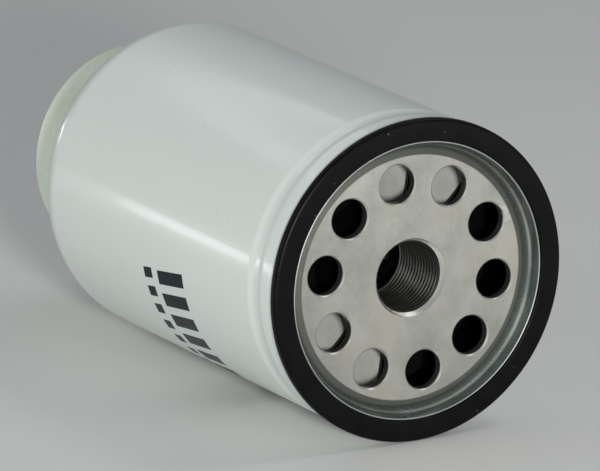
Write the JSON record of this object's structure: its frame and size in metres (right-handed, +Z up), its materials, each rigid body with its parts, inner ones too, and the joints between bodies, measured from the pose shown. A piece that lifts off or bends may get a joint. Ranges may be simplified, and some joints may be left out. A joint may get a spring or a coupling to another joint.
{
  "type": "oil filter",
  "caption": "Spin-on oil filter with a ported threaded plate, face gasket, pleated element, bypass valve and a screw-on collecting bowl with a drain plug.",
  "frame": {"origin": "mouth of the centre thread, on the filter's axis, 2 mm behind the plate's front face", "axes": "+Y along the filter's axis from the plate towards the bowl, +Z up with the filter lying on its side"},
  "size_m": [0.11, 0.1953, 0.11],
  "materials": {
    "white_enamel": null,
    "plate_steel": "turned light grey steel, fine circular lay",
    "galvanised_steel": "zinc-coated sheet, bluish, satin",
    "spring_steel": "drawn wire, dull grey",
    "black_rubber": "satin, with a little dust",
    "grey_plastic": "light grey fins, dull, faintly cloudy",
    "black_plastic": "dull black moulding",
    "black_painted_steel": "dull black",
    "adhesive": "cured plastisol, dull brown",
    "filter_paper": "resin-treated pleated paper, fibrous",
    "bowl_plastic": "pale cream-green moulding, slightly translucent",
    "brass": "plain turned brass"
  },
  "bodies": {
    "housing": {"can": "white_enamel", "threaded_plate": "plate_steel", "gasket_retainer": "galvanised_steel", "outer_gasket": "black_rubber", "bowl_ring": "galvanised_steel", "spring_seat": "galvanised_steel", "support_spring": "spring_steel"},
    "element": {"flow_spacer": "black_plastic", "spacer_fin_1": "grey_plastic", "spacer_fin_2": "grey_plastic", "spacer_fin_3": "grey_plastic", "spacer_fin_4": "grey_plastic", "hub_grommet": "black_rubber", "top_end_cap": "black_painted_steel", "top_adhesive": "adhesive", "centre_tube": "galvanised_steel", "media_pleats": "filter_paper", "media_band_front": "adhesive", "media_band_middle": "adhesive", "media_band_rear": "adhesive", "bottom_adhesive": "adhesive", "bottom_end_cap": "black_painted_steel", "bypass_seat": "galvanised_steel", "bypass_cage": "galvanised_steel", "bypass_spring": "spring_steel"},
    "bypass_poppet": {"bypass_poppet": "plate_steel", "poppet_seal": "black_rubber"},
    "bowl_seal": {"bowl_seal": "black_rubber"},
    "bowl": {"bowl": "bowl_plastic"},
    "drain_seal": {"drain_seal": "black_rubber"},
    "drain_plug": {"drain_plug": "brass"}
  },
  "joints": [
    {"name": "element_float", "type": "slide", "parent": "housing", "child": "element", "axis": [0, 1, 0], "range_m": [0, 0.002], "stiffness_N_per_m": 8000, "springref_m": -0.0075, "deforming": ["support_spring"]},
    {"name": "bypass_open", "type": "slide", "parent": "element", "child": "bypass_poppet", "axis": [0, -1, 0], "range_m": [0, 0.004], "stiffness_N_per_m": 5000, "springref_m": -0.007, "deforming": ["bypass_spring"]},
    {"name": "bowl_advance", "type": "slide", "parent": "housing", "child": "bowl_seal", "axis": [0, 1, 0], "range_m": [0, 0.012]},
    {"name": "bowl_turn", "type": "hinge", "parent": "bowl_seal", "child": "bowl", "pos_m": [0, 0.166, 0], "axis": [0, 1, 0], "range_deg": [0, 1440]},
    {"name": "drain_advance", "type": "slide", "parent": "bowl", "child": "drain_seal", "axis": [0, 1, 0], "range_m": [0, 0.01]},
    {"name": "drain_turn", "type": "hinge", "parent": "drain_seal", "child": "drain_plug", "pos_m": [0, 0.181, 0], "axis": [0, 1, 0], "range_deg": [0, 1800]}
  ],
  "couplings": [
    {"joint": "bowl_advance", "follows": "bowl_turn", "m_per_rad": 0.00047746},
    {"joint": "drain_turn", "follows": "drain_advance", "rad_per_m": 3141.6}
  ]
}
